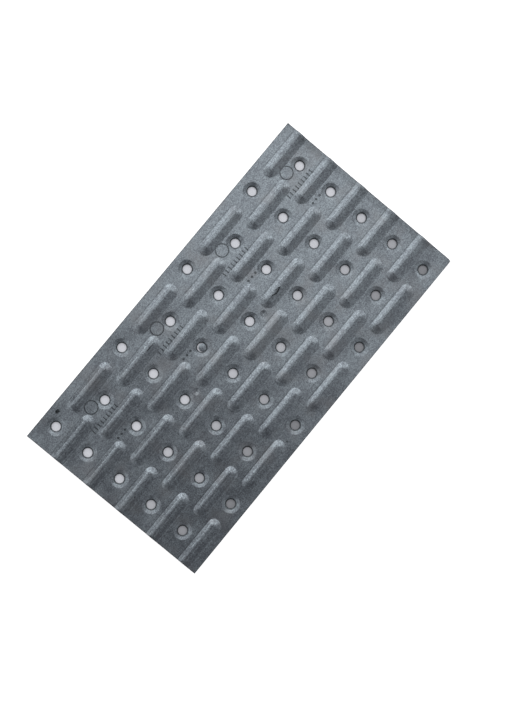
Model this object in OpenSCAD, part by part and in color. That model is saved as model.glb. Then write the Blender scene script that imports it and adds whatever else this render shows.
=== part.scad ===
/* [Sheet] */
// Length of the plate, across its rows of holes
plate_l = 200; // [100:1:400]
// Width of the plate, along a row of holes
plate_w = 106; // [66:1:200]
// Thickness of the sheet
sheet_t = 1.2; // [1:0.05:1.5]

/* [Pattern] */
// Distance from one row to the next
row_pitch = 25; // [20:0.5:40]
// Distance from hole to hole in a row
hole_pitch = 20; // [16:0.5:40]
// Least distance from the middle of a hole to a long edge
edge_margin = 6; // [5.5:0.5:15]

/* [Nail holes] */
// Radius of a nail hole
hole_r = 2.25; // [1.5:0.05:3]
// Radius of the coned seat round a hole
seat_r = 4.6; // [4:0.1:5.4]
// Depth of the seat at the hole
seat_depth = 0.4; // [0.2:0.05:0.5]
// Radius of the rolled lip between seat and hole
lip_r = 0.45; // [0.1:0.05:0.5]

/* [Ribs] */
// Length of a pressed rib
rib_l = 29; // [16:0.5:34]
// Width of a rib at its foot
rib_w = 6.8; // [5.6:0.1:7.4]
// Height of a rib above the sheet
rib_h = 1.1; // [1:0.1:1.8]
// Radius inside the crest of a rib
rib_inside_r = 1.2; // [0.3:0.1:1.6]
// How far a rib lies off the middle between its two holes
rib_shift = -0.5; // [-0.8:0.1:0.8]

/* [Wear] */
// Radius worn on one corner
corner_r = 1.5; // [0.5:0.1:4]
// Row, counted from 0, of the hole that kept its punched slug
slug_row = 3; // [0:1:7]
// Place of that hole in its row, counted from 0
slug_place = 3; // [0:1:4]
// Thickness of the slug
slug_t = 0.5; // [0.3:0.05:0.7]
// Clearance that the punch left round the slug
slug_gap = 0.15; // [0.05:0.05:0.3]
// How far the slug's uncut side reaches into the wall of its hole
slug_bite = 0.4; // [0.2:0.05:0.6]
// Radius of a small dent beside one hole
dent_r = 2; // [1:0.1:2.2]
// Depth of the dent
dent_depth = 0.15; // [0.05:0.05:0.3]

/* [Hidden] */
$fn = 64;
past = 1; // how far a cutter reaches past the sheet
run_out = 0.05; // how far a sloped cut keeps its slope past the face it starts from

rows = floor(plate_l / row_pitch);
places = floor((plate_w - 2 * edge_margin) / hole_pitch + 0.5);

rib_foot = rib_w / 2;
rib_straight = rib_l - rib_w;
crest_r = rib_inside_r + sheet_t;
crest_z = rib_h - crest_r; // height of the crest's centre line over the top of the sheet
flank_a = asin(crest_r / norm([rib_foot, crest_z])) + atan2(crest_z, rib_foot);
mouth_a = 8; // slope at which the groove under a rib runs out into the underside
bend_steps = 4; // flats that make the bend beside a groove

seat_a = atan(seat_depth / (seat_r - hole_r));
lip_z = -(seat_r - hole_r - lip_r) * tan(seat_a) - lip_r / cos(seat_a);

slug_z = 0.05; // underside of the slug above the underside of the sheet
slug_dir = -50; // direction, from the middle of the hole, of the slug's uncut side
dent_row = 2;
dent_place = 2;
dent_from_hole = [6.7, -1.9];

// Rows alternate, and a rib lies between two holes. Both stand on the top of the sheet.
function stagger(row) = (row % 2 == 0 ? 1 : -1) * hole_pitch / 4;
function site(row, place, shift) =
    [(row - (rows - 1) / 2) * row_pitch, (place - (places - 1) / 2) * hole_pitch + shift, sheet_t];
function hole_site(row, place) = site(row, place, stagger(row));
function rib_site(row, place) = site(row, place, rib_shift - stagger(row));

// The point on a circle round [x, z], a degrees from straight down towards the middle of the rib
function on_arc(x, z, r, a) = [x - r * sin(a), z - r * cos(a)];

module outline() {
    difference() {
        square([plate_l, plate_w], center = true);
        translate([plate_l / 2 - corner_r, corner_r - plate_w / 2]) difference() {
            translate([0, -corner_r - past]) square(corner_r + past);
            circle(r = corner_r);
        }
    }
}

// Half of a section with a round crest, from the middle of the rib to the points that end its foot
module crest_half(r, foot) {
    tip = [r * sin(flank_a), crest_z + r * cos(flank_a)];
    polygon(concat([[0, foot[0].y]], foot, [tip, [0, tip.y]]));
    intersection() {
        translate([0, crest_z]) circle(r = r);
        translate([0, tip.y]) square([tip.x, r]);
    }
}

module rib_half() {
    crest_half(crest_r, [[rib_foot, -sheet_t / 2], [rib_foot, 0]]);
}

// The hollow side of the bend: the sheet keeps its thickness round the foot of the rib
module groove_half() {
    mouth = rib_foot - sheet_t * tan(mouth_a / 2) + run_out / tan(mouth_a);
    bend = [for (k = [0:bend_steps]) on_arc(rib_foot, 0, sheet_t, mouth_a + (flank_a - mouth_a) * k / bend_steps)];
    crest_half(rib_inside_r, concat([[mouth, -sheet_t - past], [mouth, -sheet_t - run_out]], bend));
}

// A half section run along the rib on both sides, and turned round both of its ends
module along_rib() {
    rotate([90, 0, 90]) linear_extrude(rib_straight, center = true) {
        children();
        mirror([1, 0, 0]) children();
    }
    for (turn = [0, 180]) {
        rotate([0, 0, turn]) translate([rib_straight / 2, 0, 0])
            rotate([0, 0, -90]) rotate_extrude(angle = 180) children();
    }
}

module hole_cutter() {
    lip = [hole_r + lip_r, lip_z];
    seat_edge = seat_r + run_out / tan(seat_a);
    rotate_extrude() difference() {
        polygon([
            [0, -sheet_t - past],
            [hole_r, -sheet_t - past],
            [hole_r, lip_z],
            lip + lip_r * [-sin(seat_a), cos(seat_a)],
            [seat_edge, run_out],
            [seat_edge, past],
            [0, past],
        ]);
        translate(lip) circle(r = lip_r);
    }
}

module slug() {
    translate(hole_site(min(slug_row, rows - 1), min(slug_place, places - 1)) - [0, 0, sheet_t - slug_z])
        rotate([0, 0, slug_dir]) translate([slug_gap + slug_bite, 0, 0])
            cylinder(r = hole_r - slug_gap, h = slug_t);
}

module dent() {
    ball_r = (dent_r * dent_r + dent_depth * dent_depth) / (2 * dent_depth);
    translate(hole_site(min(dent_row, rows - 1), min(dent_place, places - 1))
        + concat(dent_from_hole, ball_r - dent_depth))
        sphere(r = ball_r, $fn = 128);
}

module ribs() {
    for (row = [0:rows - 1], place = [0:places - 1]) {
        translate(rib_site(row, place)) along_rib() children();
    }
}

module nail_plate() color("lightsteelblue") {
    difference() {
        intersection() {
            union() {
                translate([-plate_l / 2 - past, -plate_w / 2 - past, 0])
                    cube([plate_l + 2 * past, plate_w + 2 * past, sheet_t]);
                ribs() rib_half();
            }
            linear_extrude(sheet_t + rib_h + past) outline();
        }
        ribs() groove_half();
        for (row = [0:rows - 1], place = [0:places - 1]) {
            translate(hole_site(row, place)) hole_cutter();
        }
        dent();
    }
    slug();
}

nail_plate();
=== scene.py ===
import math

import bpy
from mathutils import Matrix, Vector


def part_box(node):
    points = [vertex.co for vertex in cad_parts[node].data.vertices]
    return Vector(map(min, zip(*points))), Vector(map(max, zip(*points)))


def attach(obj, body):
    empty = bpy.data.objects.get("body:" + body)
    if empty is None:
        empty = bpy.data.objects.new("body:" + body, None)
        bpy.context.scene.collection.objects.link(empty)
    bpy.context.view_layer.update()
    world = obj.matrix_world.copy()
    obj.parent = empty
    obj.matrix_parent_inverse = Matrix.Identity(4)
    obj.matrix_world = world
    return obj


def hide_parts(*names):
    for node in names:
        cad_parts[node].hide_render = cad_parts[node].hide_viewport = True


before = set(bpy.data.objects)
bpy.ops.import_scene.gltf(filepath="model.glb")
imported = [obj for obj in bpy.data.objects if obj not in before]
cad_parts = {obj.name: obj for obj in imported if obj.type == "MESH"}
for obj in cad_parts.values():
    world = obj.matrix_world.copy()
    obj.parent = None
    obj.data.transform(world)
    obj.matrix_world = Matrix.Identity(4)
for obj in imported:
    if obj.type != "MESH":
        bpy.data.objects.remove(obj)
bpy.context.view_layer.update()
mm = 0.001

# Sizes are in millimetres and angles in degrees. The length and the width come from the nail plate part in
# model.glb.
plate = {
    "sheet": 1.2,
    "rows": 8,
    "places": 5,
    "rowPitch": 25,
    "holePitch": 20,
    "wornCorner": 1.5,
    "cornerSteps": 6,
    "blankMargin": 5,
    "shearsBelow": 1,
    "shearsSheets": 5,
    "smoothAngle": 35,
}
# A form's sides and caps are the steps along its straight and round each of its ends.
rib = {
    "straight": 21.8, "along": 0.1, "across": 0.1, "height": 1.1, "flatEdge": 0.2,
    "crestRadius": 7, "crestHalf": 1.0, "shoulderRadius": 1.6, "footRadius": 0.3,
    "steepSide": 2.85, "head": 3.9,
    "softSide": 4.65, "softCrest": 1.15, "tail": 4.7, "tailCrest": 0.78,
    "crestSteps": 2, "shoulderSteps": 5, "footSteps": 3, "softSteps": 11, "sides": 8, "caps": 14,
}
seat = {
    "holeRadius": 2.25, "radius": 4.6, "depth": 0.36, "lipRadius": 0.45, "edgeRadius": 2.5,
    "flatEdge": 0.1, "lipSteps": 5, "edgeSteps": 3, "caps": 24,
}
slug = {
    "row": 3, "place": 3, "thickness": 0.5, "gap": 0.15, "bite": 0.4, "lift": 0.05, "turn": -50,
    "edge": 0.12, "edgeFall": 0.2, "caps": 20,
}
dents = {
    "radius": 1.95, "depth": 0.28, "bowlSteps": 6, "flatEdge": 0.06, "sides": 2, "caps": 10,
    "spots": [
        {"at": (-30.8, 3.1), "straight": 0, "turn": 0},
        {"at": (19.4, 1.6), "straight": 1.2, "turn": 65},
    ],
}
stamps = {
    "depth": 0.12, "lineWidth": 0.6,
    "strokes": 9, "strokePitch": 2.1, "strokeLength": 2.4, "strokeCentre": (-7.0, 29.2),
    "ringRadius": 3.3, "ringCentre": (-7.0, 37.8), "ringSteps": 40,
    "dots": 3, "dotPitch": 2.6, "dotWidth": 1.3, "dotCentre": (-7.5, 18.2), "dotSides": 12,
}
# Points nearer than this are one point, first within a form and then over the whole sheet.
weld = {"form": 0.0005, "sheet": 0.001}


def arcPoints(centre, radius, start, end, steps):
    # angles in radians, counted from straight up towards the outside of the section
    angles = [start + (end - start) * k / steps for k in range(steps + 1)]
    return [(centre[0] + radius * math.sin(a), centre[1] + radius * math.cos(a)) for a in angles]


# A section lists (distance from the middle, height over the underside), from the middle outwards.
def steepSection(side):
    # a broad crest, a rounder shoulder, a straight flank and a crisp foot
    top, crest, shoulder = plate["sheet"] + rib["height"], rib["crestRadius"], rib["shoulderRadius"]
    tilt = math.asin(rib["crestHalf"] / crest)
    middle = (
        rib["crestHalf"] - shoulder * math.sin(tilt),
        top - crest + (crest - shoulder) * math.cos(tilt),
    )
    out, sink = side - middle[0], middle[1] - plate["sheet"]
    slope = math.asin(shoulder / math.hypot(out, sink)) + math.atan2(sink, out)
    bend = (side + rib["footRadius"] * math.tan(slope / 2), plate["sheet"] + rib["footRadius"])
    return (
        arcPoints((0, top - crest), crest, 0, tilt, rib["crestSteps"])
        + arcPoints(middle, shoulder, tilt, slope, rib["shoulderSteps"])[1:]
        + arcPoints(bend, rib["footRadius"], math.pi + slope, math.pi, rib["footSteps"])
        + [(bend[0] + rib["flatEdge"], plate["sheet"])]
    )


def softSection(side, crest):
    # a long round fall that runs out softly into the sheet
    shares = [k / rib["softSteps"] for k in range(rib["softSteps"] + 1)]
    falls = [math.cos(math.pi / 2 * k ** crest) ** 2 for k in shares]
    points = [(side * k, plate["sheet"] + rib["height"] * fall) for k, fall in zip(shares, falls)]
    return points + [(side + rib["flatEdge"], plate["sheet"])]


def underside(points):
    # the same section one sheet thickness further in, square to the surface
    under = []
    for k, (x, z) in enumerate(points):
        before, after = points[max(k - 1, 0)], points[min(k + 1, len(points) - 1)]
        dx, dz = (1, 0) if k in (0, len(points) - 1) else (after[0] - before[0], after[1] - before[1])
        length = math.hypot(dx, dz)
        under.append((x + plate["sheet"] * dz / length, z - plate["sheet"] * dx / length))
    return under[:-2] + [(points[-2][0], 0), (points[-1][0], 0)]


def seatSection():
    top, hole, lip = plate["sheet"], seat["holeRadius"], seat["lipRadius"]
    slope = math.atan(seat["depth"] / (seat["radius"] - hole))
    lipHeight = top - (seat["radius"] - hole - lip) * math.tan(slope) - lip / math.cos(slope)
    rim = (seat["radius"] + seat["edgeRadius"] * math.tan(slope / 2), top - seat["edgeRadius"])
    return (
        [(hole, 0)]
        + arcPoints((hole + lip, lipHeight), lip, -math.pi / 2, -slope, seat["lipSteps"])
        + arcPoints(rim, seat["edgeRadius"], -slope, 0, seat["edgeSteps"])
        + [(rim[0] + seat["flatEdge"], top)]
    )


def dentSection():
    top, radius, depth, steps = plate["sheet"], dents["radius"], dents["depth"], dents["bowlSteps"]
    falls = [math.cos(math.pi / 2 * k / steps) ** 2 for k in range(steps + 1)]
    bowl = [(radius * k / steps, top - depth * fall) for k, fall in enumerate(falls)]
    return bowl + [(radius + dents["flatEdge"], top)]


def slugSection():
    low, high = slug["lift"], slug["lift"] + slug["thickness"]
    radius, edge = seat["holeRadius"] - slug["gap"], slug["edge"]
    return [
        (0, high),
        (radius - 2 * edge, high),
        (radius - edge, high - slug["edgeFall"] * edge),
        (radius, high - edge),
        (radius, low),
        (0, low),
    ]


# Short forms for building node trees
def addNode(tree, kind, inputs=None, **settings):
    node = tree.nodes.new(kind)
    for name, value in settings.items():
        setattr(node, name, value)
    for key, value in (inputs or {}).items():
        socket = node.inputs[key] if isinstance(key, int) else next(
            s for s in node.inputs if s.name == key and s.enabled)
        for source in value if isinstance(value, list) else [value]:
            if isinstance(source, bpy.types.NodeSocket):
                tree.links.new(source, socket)
            else:
                socket.default_value = source
    return node


def calc(tree, operation, a, b=0.0):
    return addNode(tree, "ShaderNodeMath", {0: a, 1: b}, operation=operation).outputs[0]


def total(tree, first, *others):
    for other in others:
        first = calc(tree, "ADD", first, other)
    return first


def combine(tree, x=0.0, y=0.0, z=0.0):
    return addNode(tree, "ShaderNodeCombineXYZ", {0: x, 1: y, 2: z}).outputs[0]


def separate(tree, vector):
    return addNode(tree, "ShaderNodeSeparateXYZ", {0: vector}).outputs


def mapped(tree, value, fromMin, fromMax, toMin, toMax, **settings):
    inputs = {0: value, 1: fromMin, 2: fromMax, 3: toMin, 4: toMax}
    return addNode(tree, "ShaderNodeMapRange", inputs, **settings).outputs[0]


def join(tree, *geometries):
    return addNode(tree, "GeometryNodeJoinGeometry", {0: list(reversed(geometries))}).outputs[0]


def newTree(name, inputs, outputs):
    tree = bpy.data.node_groups.new(name, "GeometryNodeTree")
    for socketName, kind in inputs.items():
        tree.interface.new_socket(socketName, in_out="INPUT", socket_type="NodeSocket" + kind)
    for socketName, kind in outputs.items():
        tree.interface.new_socket(socketName, in_out="OUTPUT", socket_type="NodeSocket" + kind)
    given = tree.nodes.new("NodeGroupInput").outputs
    return tree, given, tree.nodes.new("NodeGroupOutput")


# One pressed form: sections for its four directions, carried along a straight line and round both ends
def pressedFormTree():
    names = ["Side Section", "Far Section", "Head Section", "Tail Section"]
    tree, given, end = newTree(
        "Pressed form",
        {**{name: "Geometry" for name in names},
         "Straight": "Float", "Side Steps": "Int", "Cap Steps": "Int"},
        {"Mesh": "Geometry"},
    )
    straight, side, cap = given["Straight"], given["Side Steps"], given["Cap Steps"]
    size = addNode(tree, "GeometryNodeAttributeDomainSize", {"Geometry": given[names[0]]}, component="MESH")
    count = size.outputs["Point Count"]
    firstCap = total(tree, side, cap)
    secondSide = total(tree, firstCap, side)
    around = total(tree, secondSide, cap)
    grid = addNode(tree, "GeometryNodeMeshGrid", {
        "Vertices X": total(tree, around, 1.0), "Vertices Y": count})
    # the grid numbers its points section by section
    index = tree.nodes.new("GeometryNodeInputIndex").outputs[0]
    step = calc(tree, "FLOOR", calc(tree, "DIVIDE", total(tree, index, 0.5), count))
    place = calc(tree, "SUBTRACT", index, calc(tree, "MULTIPLY", step, count))
    half = calc(tree, "MULTIPLY", straight, 0.5)
    along = total(
        tree,
        mapped(tree, step, 0.0, side, calc(tree, "MULTIPLY", half, -1.0), half),
        mapped(tree, step, firstCap, secondSide, 0.0, calc(tree, "MULTIPLY", straight, -1.0)),
    )
    turn = total(
        tree,
        mapped(tree, step, side, firstCap, math.pi / 2, -math.pi / 2),
        mapped(tree, step, secondSide, around, 0.0, -math.pi),
    )
    sine, cosine = calc(tree, "SINE", turn), calc(tree, "COSINE", turn)
    # the section changes evenly from each direction to the next
    position = tree.nodes.new("GeometryNodeInputPosition").outputs[0]
    sideOne, farOne, headOne, tailOne = (addNode(tree, "GeometryNodeSampleIndex", {
        "Geometry": given[name], "Value": position, "Index": place}, data_type="FLOAT_VECTOR").outputs[0]
        for name in names)

    def mixed(share, a, b):
        return addNode(tree, "ShaderNodeMix", {0: share, "A": a, "B": b}, data_type="VECTOR").outputs[1]

    across = mixed(calc(tree, "LESS_THAN", sine, 0.0), sideOne, farOne)
    endwise = mixed(calc(tree, "LESS_THAN", cosine, 0.0), headOne, tailOne)
    outwards, _, height = separate(tree, mixed(calc(tree, "MULTIPLY", cosine, cosine), across, endwise))
    x = total(tree, along, calc(tree, "MULTIPLY", outwards, cosine))
    y = calc(tree, "MULTIPLY", outwards, sine)
    bent = addNode(tree, "GeometryNodeSetPosition", {
        "Geometry": grid.outputs["Mesh"], "Position": combine(tree, x, y, height)})
    merged = addNode(tree, "GeometryNodeMergeByDistance", {
        "Geometry": bent.outputs[0], "Distance": weld["form"] * mm})
    tree.links.new(merged.outputs[0], end.inputs[0])
    return tree


# The whole sheet: forms on their lattice, flat web between them, and shears that cut the blank to size
def pressedSheetTree(formTree):
    ways = ("Side", "Far", "Head", "Tail")
    tree, given, end = newTree(
        "Pressed sheet",
        {
            "Geometry": "Geometry", "Length": "Float", "Width": "Float", "Sheet": "Float",
            "Blank Margin": "Float", "Worn Corner": "Float", "Rows": "Int", "Places": "Int",
            "Row Pitch": "Float", "Hole Pitch": "Float",
            "Rib Straight": "Float", "Rib Along": "Float", "Rib Across": "Float",
            **{f"{part} {way}": "Object" for part in ("Rib", "Groove") for way in ways},
            "Seat": "Object", "Dent": "Object", "Slug": "Object",
            "Strokes": "Int", "Stroke Pitch": "Float", "Stroke Length": "Float",
            "Dots": "Int", "Dot Pitch": "Float", "Dot Width": "Float", "Ring Radius": "Float",
            "Line Width": "Float", "Stamp Depth": "Float", "Steel": "Material",
        },
        {"Geometry": "Geometry"},
    )

    def form(part, straight, sides, caps, perWay=False):
        node = addNode(tree, "GeometryNodeGroup", node_tree=formTree)
        inputs = {"Straight": straight, "Side Steps": sides, "Cap Steps": caps}
        for way in ways:
            source = given[f"{part} {way}" if perWay else part]
            section = addNode(tree, "GeometryNodeObjectInfo", {"Object": source})
            inputs[way + " Section"] = section.outputs["Geometry"]
        for name, value in inputs.items():
            if isinstance(value, bpy.types.NodeSocket):
                tree.links.new(value, node.inputs[name])
            else:
                node.inputs[name].default_value = value
        return node.outputs[0]

    def moved(geometry, position=(0, 0, 0), turn=0.0):
        return addNode(tree, "GeometryNodeTransform", {
            "Geometry": geometry, "Translation": position, "Rotation": (0, 0, turn)}).outputs[0]

    def onPoints(geometry, points):
        return addNode(tree, "GeometryNodeInstanceOnPoints", {
            "Points": points, "Instance": geometry}).outputs[0]

    def lineOf(count, pitch, centre):
        line = addNode(tree, "GeometryNodeMeshLine", {
            "Count": count, "Offset": combine(tree, pitch)}, mode="OFFSET").outputs[0]
        length = calc(tree, "MULTIPLY", pitch, calc(tree, "SUBTRACT", count, 1.0))
        centred = addNode(tree, "GeometryNodeSetPosition", {
            "Geometry": line, "Offset": combine(tree, calc(tree, "MULTIPLY", length, -0.5))})
        return moved(centred.outputs[0], (centre[0] * mm, centre[1] * mm, 0))

    # lattice: the rows alternate, and a rib stands about midway between two holes
    rows, places = given["Rows"], given["Places"]
    rowPitch, holePitch, sheet = given["Row Pitch"], given["Hole Pitch"], given["Sheet"]
    lattice = addNode(tree, "GeometryNodeMeshGrid", {
        "Size X": calc(tree, "MULTIPLY", calc(tree, "SUBTRACT", rows, 1.0), rowPitch),
        "Size Y": calc(tree, "MULTIPLY", calc(tree, "SUBTRACT", places, 1.0), holePitch),
        "Vertices X": rows, "Vertices Y": places,
    }).outputs["Mesh"]
    index = tree.nodes.new("GeometryNodeInputIndex").outputs[0]
    row = calc(tree, "FLOOR", calc(tree, "DIVIDE", total(tree, index, 0.5), places))
    odd = calc(tree, "MODULO", row, 2.0)
    side = mapped(tree, odd, 0.0, 1.0, 1.0, -1.0)
    stagger = calc(tree, "MULTIPLY", side, calc(tree, "MULTIPLY", holePitch, 0.25))

    def latticeShifted(along, across):
        return addNode(tree, "GeometryNodeSetPosition", {
            "Geometry": lattice, "Offset": combine(tree, along, across)}).outputs[0]

    holeSites = latticeShifted(0.0, stagger)
    ribSites = latticeShifted(given["Rib Along"], calc(tree, "SUBTRACT", given["Rib Across"], stagger))
    seats = onPoints(form("Seat", 0.0, 0, seat["caps"]), holeSites)
    ribSteps = (given["Rib Straight"], rib["sides"], rib["caps"], True)
    ribs = onPoints(form("Rib", *ribSteps), ribSites)
    groove = addNode(tree, "GeometryNodeFlipFaces", {"Mesh": form("Groove", *ribSteps)})
    grooves = onPoints(groove.outputs[0], ribSites)
    worn = []
    for spot in dents["spots"]:
        bowl = form("Dent", spot["straight"] * mm, dents["sides"] if spot["straight"] else 0, dents["caps"])
        worn.append(moved(bowl, (spot["at"][0] * mm, spot["at"][1] * mm, 0), math.radians(spot["turn"])))
    forms = addNode(tree, "GeometryNodeRealizeInstances", {
        0: join(tree, seats, ribs, grooves, *worn)}).outputs[0]

    # flat web: the blank's outline with an opening for every form, on both faces
    margin = calc(tree, "MULTIPLY", given["Blank Margin"], 2.0)
    blankLength, blankWidth = total(tree, given["Length"], margin), total(tree, given["Width"], margin)
    blank = addNode(tree, "GeometryNodeCurvePrimitiveQuadrilateral", {
        "Width": blankLength, "Height": blankWidth})
    neighbours = tree.nodes.new("GeometryNodeInputMeshEdgeNeighbors").outputs[0]
    openEdge = calc(tree, "LESS_THAN", neighbours, 1.5)
    height = separate(tree, tree.nodes.new("GeometryNodeInputPosition").outputs[0])[2]
    upper = calc(tree, "GREATER_THAN", height, calc(tree, "MULTIPLY", sheet, 0.5))
    lower = calc(tree, "SUBTRACT", 1.0, upper)

    def web(isThere):
        openings = addNode(tree, "GeometryNodeMeshToCurve", {
            "Mesh": forms, "Selection": calc(tree, "MULTIPLY", openEdge, isThere)}).outputs[0]
        return addNode(tree, "GeometryNodeFillCurve", {
            "Curve": join(tree, blank.outputs[0], openings)}, mode="TRIANGLES").outputs[0]

    topWeb = addNode(tree, "GeometryNodeSetPosition", {
        "Geometry": web(upper), "Offset": combine(tree, 0.0, 0.0, sheet)}).outputs[0]
    bottomWeb = addNode(tree, "GeometryNodeFlipFaces", {"Mesh": web(lower)}).outputs[0]
    block = addNode(tree, "GeometryNodeMeshCube", {"Size": combine(tree, blankLength, blankWidth, sheet)})
    normalUp = separate(tree, tree.nodes.new("GeometryNodeInputNormal").outputs[0])[2]
    walls = addNode(tree, "GeometryNodeDeleteGeometry", {
        "Geometry": block.outputs["Mesh"],
        "Selection": calc(tree, "GREATER_THAN", calc(tree, "ABSOLUTE", normalUp), 0.5),
    }, domain="FACE").outputs[0]
    lift = combine(tree, 0.0, 0.0, calc(tree, "MULTIPLY", sheet, 0.5))
    walls = addNode(tree, "GeometryNodeSetPosition", {"Geometry": walls, "Offset": lift}).outputs[0]
    pressed = addNode(tree, "GeometryNodeMergeByDistance", {
        "Geometry": join(tree, forms, topWeb, bottomWeb, walls), "Distance": weld["sheet"] * mm}).outputs[0]

    # shears: a block of the finished outline, with its one worn corner, that stands past both faces
    outline = addNode(tree, "GeometryNodeCurvePrimitiveQuadrilateral", {
        "Width": given["Length"], "Height": given["Width"]})
    x, y, _ = separate(tree, tree.nodes.new("GeometryNodeInputPosition").outputs[0])
    isWorn = calc(tree, "MULTIPLY", calc(tree, "GREATER_THAN", x, 0.0), calc(tree, "LESS_THAN", y, 0.0))
    rounded = addNode(tree, "GeometryNodeFilletCurve", {
        "Curve": outline.outputs[0], "Count": plate["cornerSteps"],
        "Radius": calc(tree, "MULTIPLY", isWorn, given["Worn Corner"])}, mode="POLY").outputs[0]
    base = addNode(tree, "GeometryNodeSetPosition", {
        "Geometry": addNode(tree, "GeometryNodeFillCurve", {"Curve": rounded}, mode="NGONS").outputs[0],
        "Offset": (0, 0, -plate["shearsBelow"] * mm)}).outputs[0]
    raised = addNode(tree, "GeometryNodeExtrudeMesh", {
        "Mesh": base, "Offset Scale": calc(tree, "MULTIPLY", sheet, plate["shearsSheets"]),
        "Individual": False}).outputs["Mesh"]
    lowerFace = addNode(tree, "GeometryNodeFlipFaces", {"Mesh": base}).outputs[0]
    shears = addNode(tree, "GeometryNodeMergeByDistance", {
        "Geometry": join(tree, raised, lowerFace)}).outputs[0]
    cut = addNode(tree, "GeometryNodeMeshBoolean", {
        1: [pressed, shears]}, operation="INTERSECT", solver="MANIFOLD").outputs[0]

    # plain stamps beside every second row, sunk into the finished face
    width, deep = given["Line Width"], given["Stamp Depth"]
    tall = calc(tree, "MULTIPLY", deep, 2.0)
    stroke = addNode(tree, "GeometryNodeMeshCube", {
        "Size": combine(tree, width, given["Stroke Length"], tall)}).outputs["Mesh"]
    dot = addNode(tree, "GeometryNodeMeshCylinder", {
        "Vertices": stamps["dotSides"], "Radius": calc(tree, "MULTIPLY", given["Dot Width"], 0.5),
        "Depth": tall}).outputs["Mesh"]
    circle = addNode(tree, "GeometryNodeCurvePrimitiveCircle", {
        "Resolution": stamps["ringSteps"], "Radius": given["Ring Radius"]})
    profile = addNode(tree, "GeometryNodeCurvePrimitiveQuadrilateral", {"Width": width, "Height": tall})
    ring = addNode(tree, "GeometryNodeCurveToMesh", {
        "Curve": circle.outputs[0], "Profile Curve": profile.outputs[0]}).outputs[0]
    strokes = onPoints(stroke, lineOf(given["Strokes"], given["Stroke Pitch"], stamps["strokeCentre"]))
    dots = onPoints(dot, lineOf(given["Dots"], given["Dot Pitch"], stamps["dotCentre"]))
    rings = moved(ring, (stamps["ringCentre"][0] * mm, stamps["ringCentre"][1] * mm, 0))
    # the second row from the left end is the first with marks
    firstRow = total(tree, calc(tree, "MULTIPLY", rows, -0.5), 1.5)
    markRows = addNode(tree, "GeometryNodeMeshLine", {
        "Count": calc(tree, "DIVIDE", rows, 2.0),
        "Offset": combine(tree, calc(tree, "MULTIPLY", rowPitch, 2.0)),
        "Start Location": combine(tree, calc(tree, "MULTIPLY", firstRow, rowPitch), 0.0, sheet),
    }, mode="OFFSET").outputs[0]
    marks = addNode(tree, "GeometryNodeRealizeInstances", {
        0: onPoints(join(tree, strokes, dots, rings), markRows)}).outputs[0]
    cut = addNode(tree, "GeometryNodeMeshBoolean", {
        0: cut, 1: marks}, operation="DIFFERENCE", solver="MANIFOLD").outputs[0]

    # the slug that stayed in one hole
    slugX = (slug["row"] - (plate["rows"] - 1) / 2) * plate["rowPitch"]
    slugY = (slug["place"] - (plate["places"] - 1) / 2 - 0.25) * plate["holePitch"]
    reach, turn = slug["gap"] + slug["bite"], math.radians(slug["turn"])
    kept = moved(form("Slug", 0.0, 0, slug["caps"]), (
        (slugX + reach * math.cos(turn)) * mm, (slugY + reach * math.sin(turn)) * mm, 0))
    whole = addNode(tree, "GeometryNodeMeshBoolean", {
        1: [cut, kept]}, operation="UNION", solver="MANIFOLD").outputs[0]
    real = addNode(tree, "GeometryNodeRealizeInstances", {0: whole}).outputs[0]
    done = addNode(tree, "GeometryNodeSetMaterial", {
        "Geometry": real, "Material": given["Steel"]}).outputs[0]
    tree.links.new(done, end.inputs[0])
    return tree


def sectionObject(name, points):
    mesh = bpy.data.meshes.new(name)
    edges = [(k, k + 1) for k in range(len(points) - 1)]
    mesh.from_pydata([(x * mm, 0, z * mm) for x, z in points], edges, [])
    obj = bpy.data.objects.new(name, mesh)
    bpy.context.scene.collection.objects.link(obj)
    return obj


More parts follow.
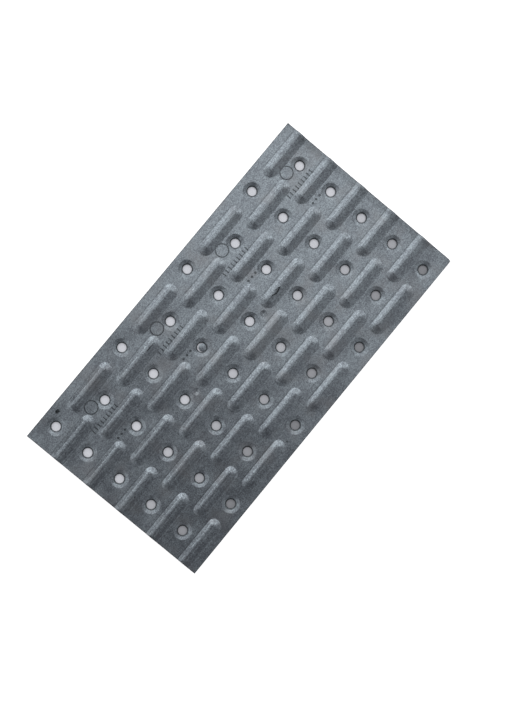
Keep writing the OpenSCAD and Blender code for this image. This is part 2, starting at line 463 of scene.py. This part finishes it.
def makePressedSheet(steel):
    low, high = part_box("nail_plate")
    ways = {
        "Side": steepSection(rib["steepSide"]),
        "Head": steepSection(rib["head"]),
        "Far": softSection(rib["softSide"], rib["softCrest"]),
        "Tail": softSection(rib["tail"], rib["tailCrest"]),
    }
    sections = {"Seat": seatSection(), "Dent": dentSection(), "Slug": slugSection()}
    for way, points in ways.items():
        sections["Rib " + way], sections["Groove " + way] = points, underside(points)
    sections = {name: sectionObject(name.replace(" ", ""), points) for name, points in sections.items()}
    values = {
        "Length": high.x - low.x, "Width": high.y - low.y, "Sheet": plate["sheet"] * mm,
        "Blank Margin": plate["blankMargin"] * mm, "Worn Corner": plate["wornCorner"] * mm,
        "Rows": plate["rows"], "Places": plate["places"],
        "Row Pitch": plate["rowPitch"] * mm, "Hole Pitch": plate["holePitch"] * mm,
        "Rib Straight": rib["straight"] * mm, "Rib Along": rib["along"] * mm,
        "Rib Across": rib["across"] * mm,
        "Strokes": stamps["strokes"], "Stroke Pitch": stamps["strokePitch"] * mm,
        "Stroke Length": stamps["strokeLength"] * mm, "Dots": stamps["dots"],
        "Dot Pitch": stamps["dotPitch"] * mm, "Dot Width": stamps["dotWidth"] * mm,
        "Ring Radius": stamps["ringRadius"] * mm, "Line Width": stamps["lineWidth"] * mm,
        "Stamp Depth": stamps["depth"] * mm, "Steel": steel, **sections,
    }
    tree = pressedSheetTree(pressedFormTree())
    sheet = bpy.data.objects.new("pressed_sheet", bpy.data.meshes.new("pressedSheet"))
    bpy.context.scene.collection.objects.link(sheet)
    modifier = sheet.modifiers.new("Pressed sheet", "NODES")
    modifier.node_group = tree
    sockets = {s.name: s.identifier for s in tree.interface.items_tree if s.in_out == "INPUT"}
    for name, value in values.items():
        modifier[sockets[name]] = value
    evaluated = sheet.evaluated_get(bpy.context.evaluated_depsgraph_get())
    mesh = bpy.data.meshes.new_from_object(evaluated)
    sheet.modifiers.remove(modifier)
    sheet.data = mesh
    for section in sections.values():
        bpy.data.objects.remove(section)
    mesh.shade_smooth()
    mesh.set_sharp_from_angle(angle=math.radians(plate["smoothAngle"]))
    return sheet


# Galvanised steel: blue grey zinc with a mottled grain, painted shade at the hole lips, along the rib feet
# and at the plate's edges, dark stamp floors, and the wear of one used plate. The tone is the sum of the
# grains by their shares, and goes from dark to light over toneRange.
steelLook = {
    "dark": (0.153, 0.170, 0.191), "light": (0.299, 0.341, 0.370), "brown": (0.220, 0.225, 0.234),
    "fineSize": 0.6, "grainSize": 1.5, "mottleSize": 8, "brownSize": 13.6,
    "streakLength": 25, "streakWidth": 0.9,
    "fineShare": 1.05, "grainShare": 0.7, "mottleShare": 0.42, "streakShare": 0.15, "brownShare": 0.5,
    "toneRange": (0.965, 1.385), "brownRange": (0.5, 0.7),
    "roughness": 0.24, "roughnessShare": 0.15,
    "grainHeight": 0.002, "waveHeight": 0.03, "waveSize": 35, "swellHeight": 0.08,
}
# Painted shade at the hole lips, along the rib feet and at the plate's edges, the dark stamp floors, and
# the ragged
# spread of the wear: how much darker each place is, and how wide its line is. Ranges go from full shade to
# none, and the pattern's shade ends a little past its last holes.
paintedShadeAndWear = {
    "lip": 0.65, "lipWidth": 0.5, "pastHoles": 4,
    "stamp": 0.62, "stampLevel": 0.99, "stampReach": 0.005, "stampClear": 1,
    "foot": 0.3, "footRange": (0.1, 0.5), "footEnds": (10, 12),
    "edge": 0.5, "edgeWidth": 0.5,
    "raggedScale": 1.2, "wearRange": (0.6, 1.3),
}
wear = [
    {"from": (29.3, 4.7), "to": (31.5, 3.7), "half": 0.35, "shade": 0.75},
    {"from": (31.5, 3.7), "to": (34.5, 4.4), "half": 0.4, "shade": 0.8},
    {"from": (32.0, 5.2), "to": (34.2, 4.9), "half": 0.25, "shade": 0.6},
    {"from": (24.6, 4.3), "to": (28.5, 4.5), "half": 0.4, "shade": 0.2},
    {"from": (-82.0, 49.7), "to": (-80.6, 49.7), "half": 0.35, "shade": 0.7},
    {"from": (-81.8, 49.3), "to": (-81.2, 48.9), "half": 0.7, "shade": 0.8},
    {"from": (99.7, 52.7), "to": (99.9, 52.9), "half": 0.6, "shade": 0.8},
    # a broad darker patch towards the +X, +Y corner
    {"from": (99, 52), "to": (99, 42), "half": 7, "shade": 0.15},
    {"from": (100, 42), "to": (100, -40), "half": 3.5, "shade": 0.2},
    {"from": (-82.0, 47.0), "to": (-82.0, 47.1), "half": 0.3, "shade": 0.5},
    {"from": (-30.8, 34.6), "to": (-28.0, 34.5), "half": 0.35, "shade": 0.55},
    {"from": (-21.3, -47.0), "to": (-21.3, -46.9), "half": 0.5, "shade": 0.5},
    {"from": (-89.8, -6.4), "to": (-89.8, -6.5), "half": 0.4, "shade": 0.5},
]


def makeSteel():
    material = bpy.data.materials.new("galvanisedSteel")
    material.use_nodes = True
    tree = material.node_tree
    tree.nodes.clear()
    coordinates = addNode(tree, "ShaderNodeTexCoord").outputs["Object"]
    point = addNode(tree, "ShaderNodeVectorMath", {
        0: coordinates, "Scale": 1 / mm}, operation="SCALE").outputs[0]
    look, dark = steelLook, paintedShadeAndWear

    def noise(size, detail=3, stretch=None, rough=0.5):
        where = point
        if stretch:
            where = addNode(tree, "ShaderNodeMapping", {"Vector": point, "Scale": stretch}).outputs[0]
        return addNode(tree, "ShaderNodeTexNoise", {
            "Vector": where, "Scale": 1 / size, "Detail": detail, "Roughness": rough}).outputs["Fac"]

    def share(value, amount):
        return calc(tree, "MULTIPLY", value, amount)

    fine = noise(look["fineSize"], 1)
    grain = noise(look["grainSize"], 2, rough=0.7)
    mottle = noise(look["mottleSize"], 4, rough=0.6)
    streak = noise(1, 3, (1 / look["streakLength"], 1 / look["streakWidth"], 1))
    wave = noise(look["waveSize"], 1)
    tone = total(
        tree,
        share(fine, look["fineShare"]),
        share(grain, look["grainShare"]),
        share(mottle, look["mottleShare"]),
        share(streak, look["streakShare"]),
    )
    tone = mapped(tree, tone, *look["toneRange"], 0.0, 1.0)
    zinc = addNode(tree, "ShaderNodeMix", {
        0: tone, 6: (*look["dark"], 1), 7: (*look["light"], 1)}, data_type="RGBA").outputs[2]
    dull = mapped(tree, noise(look["brownSize"], 3), *look["brownRange"], 0.0, look["brownShare"])
    zinc = addNode(tree, "ShaderNodeMix", {
        0: dull, 6: zinc, 7: (*look["brown"], 1)}, data_type="RGBA").outputs[2]

    # painted shade that follows the pressed pattern: at the hole lips and along the crisp feet of the ribs;
    # the stamp floors are darkened too
    x, y, z = separate(tree, point)
    top = plate["sheet"]
    centre = (plate["rows"] - 1) / 2 * plate["rowPitch"]
    stagger = plate["holePitch"] / 4

    def wrapped(value, shift, reach):
        return addNode(tree, "ShaderNodeMath", {0: total(tree, value, shift), 1: reach, 2: -reach},
                       operation="WRAP").outputs[0]

    def near(value, inner, outer):
        return mapped(tree, value, inner, outer, 1.0, 0.0)

    distances, feet = [], []
    for parity, lean in ((0, stagger), (1, -stagger)):
        across = wrapped(x, centre - parity * plate["rowPitch"], plate["rowPitch"])
        hole = wrapped(y, -lean, plate["holePitch"] / 2)
        distances.append(addNode(tree, "ShaderNodeVectorMath", {
            0: combine(tree, across, hole)}, operation="LENGTH").outputs["Value"])
        # painted shade in the crease along each rib's crisp foot
        footAt = lean - rib["across"] - rib["steepSide"] - rib["footRadius"]
        foot = wrapped(y, footAt, plate["holePitch"] / 2)
        feet.append(calc(
            tree, "MULTIPLY",
            near(calc(tree, "ABSOLUTE", foot), *dark["footRange"]),
            near(calc(tree, "ABSOLUTE", across), *dark["footEnds"]),
        ))
    last = (plate["places"] - 1) / 2 * plate["holePitch"] + stagger
    isPattern = calc(tree, "LESS_THAN", calc(tree, "ABSOLUTE", y), last + dark["pastHoles"])
    distance = calc(tree, "MINIMUM", *distances)
    # painted shade of the hole walls, as a dark ring on each lip
    lipMiddle = seat["holeRadius"] + dark["lipWidth"] / 2
    fromLip = calc(tree, "ABSOLUTE", calc(tree, "SUBTRACT", distance, lipMiddle))
    lip = calc(tree, "MULTIPLY", isPattern, near(fromLip, dark["lipWidth"] * 0.5, dark["lipWidth"]))
    foot = calc(tree, "MULTIPLY", isPattern, calc(tree, "MAXIMUM", *feet))
    up = separate(tree, addNode(tree, "ShaderNodeNewGeometry").outputs["True Normal"])[2]
    fromFloor = calc(tree, "ABSOLUTE", calc(tree, "SUBTRACT", z, top - stamps["depth"]))
    stamp = calc(
        tree, "MULTIPLY",
        calc(tree, "GREATER_THAN", up, dark["stampLevel"]),
        calc(tree, "LESS_THAN", fromFloor, dark["stampReach"]),
    )
    isClear = calc(tree, "GREATER_THAN", distance, seat["holeRadius"] + dark["stampClear"])
    stamp = calc(tree, "MULTIPLY", stamp, isClear)
    low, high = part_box("nail_plate")
    # painted shade along the plate's edges
    edge = calc(
        tree, "MINIMUM",
        calc(tree, "SUBTRACT", high.x / mm, calc(tree, "ABSOLUTE", x)),
        calc(tree, "SUBTRACT", high.y / mm, calc(tree, "ABSOLUTE", y)),
    )
    # painted shade at the lips, along the rib feet and at the edges, and the dark stamp floors; the wear
    # marks join them below
    paintedShadesAndWear = [
        share(lip, dark["lip"]),
        share(stamp, dark["stamp"]),
        share(foot, dark["foot"]),
        share(near(edge, 0.0, dark["edgeWidth"]), dark["edge"]),
    ]

    # wear: short scrapes and specks with ragged sides; the list also holds a darker band along the +X end
    # and a broad darker patch towards the +X, +Y corner
    def vector(operation, inputs, result="Vector"):
        return addNode(tree, "ShaderNodeVectorMath", inputs, operation=operation).outputs[result]

    ragged = addNode(tree, "ShaderNodeTexNoise", {
        "Vector": point, "Scale": dark["raggedScale"], "Detail": 2.0}).outputs["Color"]
    rough = vector("ADD", {0: combine(tree, x, y), 1: vector("SUBTRACT", {0: ragged, 1: (0.5, 0.5, 0.5)})})
    full, none = dark["wearRange"]
    for mark in wear:
        start = Vector((*mark["from"], 0))
        way = Vector((*mark["to"], 0)) - start
        here = vector("SUBTRACT", {0: rough, 1: start})
        along = vector("DOT_PRODUCT", {0: here, 1: way / way.length_squared}, "Value")
        nearest = vector("SCALE", {0: way, "Scale": mapped(tree, along, 0.0, 1.0, 0.0, 1.0)})
        off = vector("DISTANCE", {0: here, 1: nearest}, "Value")
        paintedShadesAndWear.append(share(near(off, mark["half"] * full, mark["half"] * none), mark["shade"]))
    # the colour keeps what the painted shade and the wear leave of it
    paintedShadeAndWearFactor = 1.0
    for shade in paintedShadesAndWear:
        paintedShadeAndWearFactor = calc(tree, "MULTIPLY", paintedShadeAndWearFactor, calc(tree, "SUBTRACT", 1.0, shade))
    colour = vector("SCALE", {0: zinc, "Scale": paintedShadeAndWearFactor})

    unevenness = share(calc(tree, "SUBTRACT", mottle, 0.5), look["roughnessShare"])
    roughness = total(tree, look["roughness"], unevenness)
    # the sheet stands a little proud round the ribs and lies low at the holes
    swell = calc(
        tree, "MULTIPLY",
        calc(tree, "COSINE", share(total(tree, x, centre), math.pi / plate["rowPitch"])),
        calc(tree, "COSINE", share(total(tree, y, stagger), 2 * math.pi / plate["holePitch"])),
    )
    height = total(
        tree,
        share(grain, look["grainHeight"]),
        share(wave, look["waveHeight"]),
        share(swell, look["swellHeight"]),
    )
    bump = addNode(tree, "ShaderNodeBump", {"Strength": 1.0, "Distance": mm, "Height": height}).outputs[0]
    surface = addNode(tree, "ShaderNodeBsdfPrincipled", {
        "Base Color": colour, "Metallic": 1.0, "Roughness": roughness, "Normal": bump}).outputs[0]
    addNode(tree, "ShaderNodeOutputMaterial", {"Surface": surface})
    return material


# Studio: the camera looks down from a little off the upright. The lamps are flat panels over the plate and
# beyond its ends, so each side of a rib mirrors its own part of the room.
camera = {
    "lens": 86.9, "sensor": 36,
    "position": (-54.3, 47.64, 833.2), "target": (2.2, -6.2, 1.2), "turn": 39.66,
}
lamps = {
    # over the flats, bright at the right end and dimmer at the left
    "overhead": {"turn": 16, "near": (45, 1050), "far": (640, 1050),
                 "width": 960, "aside": -240, "radiance": 0.95},
    "bounce": {"turn": 16, "near": (-400, 1050), "far": (45, 1050),
               "width": 670, "aside": -385, "radiance": 0.46},
    # the flanks that face +Y, and the heads of the ribs
    "window": {"turn": 74, "near": (720, 1050), "far": (1500, 250),
               "width": 1100, "aside": 220, "radiance": 1.35},
    "endWindow": {"turn": 10, "near": (640, 1050), "far": (1500, 350),
                  "width": 1100, "aside": 50, "radiance": 0.95},
    "corner": {"turn": 130, "near": (650, 1000), "far": (1400, 250),
               "width": 1100, "aside": 0, "radiance": 0.7},
    "tip": {"turn": -28, "near": (540, 1050), "far": (1500, 400),
            "width": 600, "aside": 0, "radiance": 0.35},
    # the soft sides and the tails
    "tail": {"turn": -90, "near": (430, 1050), "far": (680, 1050),
             "width": 350, "aside": 195, "radiance": 0.25},
    "back": {"turn": 175, "near": (320, 1050), "far": (800, 900),
             "width": 500, "aside": 60, "radiance": 0.31},
    "fill": {"turn": -90, "near": (300, 1050), "far": (1200, 550),
             "width": 1200, "aside": -600, "radiance": 0.27},
}
# The floor's size is in metres. Its painted shade and tint are for the part under the plate.
room = {
    "ceiling": 0.26, "skyTint": (0.985, 0.985, 1.03),
    "floorSize": 24, "floorGap": 0.02, "floorColour": 0.65, "floorGlow": 0.8,
    "shadeGlow": 0.2, "lightShade": 0.88, "deepShade": 0.25, "shadeFrom": 10,
    "shadeTint": (0.97, 0.99, 1.05),
}


def makeCamera():
    data = bpy.data.cameras.new("camera")
    data.lens = camera["lens"]
    data.sensor_width = camera["sensor"]
    obj = bpy.data.objects.new("camera", data)
    bpy.context.scene.collection.objects.link(obj)
    turn = math.radians(camera["turn"])
    back = (Vector(camera["position"]) - Vector(camera["target"])).normalized()
    right = Vector((math.cos(turn), math.sin(turn), 0)).cross(back).normalized()
    up = back.cross(right)
    rotation = Matrix((right, up, back)).transposed().to_4x4()
    obj.matrix_world = Matrix.Translation(Vector(camera["position"]) * mm) @ rotation
    bpy.context.scene.camera = obj


def makeLamp(name, lamp):
    # a flat panel between two edges, each given by its distance out from the plate's middle and its height
    turn = math.radians(lamp["turn"])
    out = Vector((math.cos(turn), math.sin(turn), 0))
    side = Vector((math.sin(turn), -math.cos(turn), 0))
    middle = side * lamp["aside"]
    near, far = (middle + out * lamp[end][0] + Vector((0, 0, lamp[end][1])) for end in ("near", "far"))
    along = (far - near).normalized()
    data = bpy.data.lights.new(name, "AREA")
    data.shape = "RECTANGLE"
    data.size, data.size_y = lamp["width"] * mm, (far - near).length * mm
    data.energy = lamp["radiance"] * math.pi * data.size * data.size_y
    obj = bpy.data.objects.new(name, data)
    bpy.context.scene.collection.objects.link(obj)
    rotation = Matrix((side, along, side.cross(along))).transposed().to_4x4()
    obj.matrix_world = Matrix.Translation((near + far) / 2 * mm) @ rotation


def makeFloor():
    size, height = room["floorSize"], -room["floorGap"] * mm
    mesh = bpy.data.meshes.new("floor")
    corners = [(-size, -size, height), (size, -size, height), (size, size, height), (-size, size, height)]
    mesh.from_pydata(corners, [], [(0, 1, 2, 3)])
    floor = bpy.data.objects.new("floor", mesh)
    bpy.context.scene.collection.objects.link(floor)
    material = bpy.data.materials.new("paleFloor")
    material.use_nodes = True
    tree = material.node_tree
    tree.nodes.clear()
    path = addNode(tree, "ShaderNodeLightPath").outputs
    seen = calc(tree, "MAXIMUM", path["Is Camera Ray"], path["Is Glossy Ray"])
    seen = calc(tree, "MAXIMUM", seen, path["Is Transmission Ray"])
    # the floor glows white round the plate; under the plate its glow and colour carry a painted shadow that
    # deepens towards -Y, with a faint blue tint
    low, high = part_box("nail_plate")
    x, y, _ = separate(tree, addNode(tree, "ShaderNodeTexCoord").outputs["Object"])
    isUnder = calc(
        tree, "MULTIPLY",
        calc(tree, "LESS_THAN", calc(tree, "ABSOLUTE", x), high.x),
        calc(tree, "LESS_THAN", calc(tree, "ABSOLUTE", y), high.y),
    )
    # painted shadow under the plate, deepening towards -Y
    shade = mapped(tree, y, low.y, room["shadeFrom"] * mm, room["deepShade"], room["lightShade"])
    shade = addNode(tree, "ShaderNodeMix", {0: isUnder, "A": 1.0, "B": shade}, data_type="FLOAT").outputs[0]
    level = mapped(tree, isUnder, 0.0, 1.0, room["floorGlow"], room["shadeGlow"])
    tint = addNode(tree, "ShaderNodeMix", {
        0: isUnder, 6: (1, 1, 1, 1), 7: (*room["shadeTint"], 1)}, data_type="RGBA").outputs[2]
    strength = calc(tree, "MULTIPLY", seen, calc(tree, "MULTIPLY", level, shade))
    glow = addNode(tree, "ShaderNodeEmission", {"Color": tint, "Strength": strength})
    grey = addNode(tree, "ShaderNodeVectorMath", {
        0: tint, "Scale": calc(tree, "MULTIPLY", shade, room["floorColour"])}, operation="SCALE").outputs[0]
    matt = addNode(tree, "ShaderNodeBsdfDiffuse", {"Color": grey})
    both = addNode(tree, "ShaderNodeAddShader", {0: glow.outputs[0], 1: matt.outputs[0]}).outputs[0]
    below = addNode(tree, "ShaderNodeNewGeometry").outputs["Backfacing"]
    clear = addNode(tree, "ShaderNodeBsdfTransparent").outputs[0]
    surface = addNode(tree, "ShaderNodeMixShader", {0: below, 1: both, 2: clear}).outputs[0]
    addNode(tree, "ShaderNodeOutputMaterial", {"Surface": surface})
    mesh.materials.append(material)


def makeWorld():
    world = bpy.data.worlds.new("studio")
    bpy.context.scene.world = world
    world.use_nodes = True
    tree = world.node_tree
    tree.nodes.clear()
    path = addNode(tree, "ShaderNodeLightPath").outputs
    strength = mapped(tree, path["Is Camera Ray"], 0.0, 1.0, room["ceiling"], 1.0)
    sky = addNode(tree, "ShaderNodeBackground", {
        "Color": (*room["skyTint"], 1), "Strength": strength}).outputs[0]
    addNode(tree, "ShaderNodeOutputWorld", {"Surface": sky})


print("camera and lights")
bpy.context.scene.view_settings.view_transform = "Standard"
makeCamera()
for name, lamp in lamps.items():
    makeLamp(name, lamp)
makeFloor()
makeWorld()

print("pressed sheet")
sheet = makePressedSheet(makeSteel())
print("pressed sheet has", len(sheet.data.polygons), "faces")
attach(sheet, "root")
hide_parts("nail_plate")
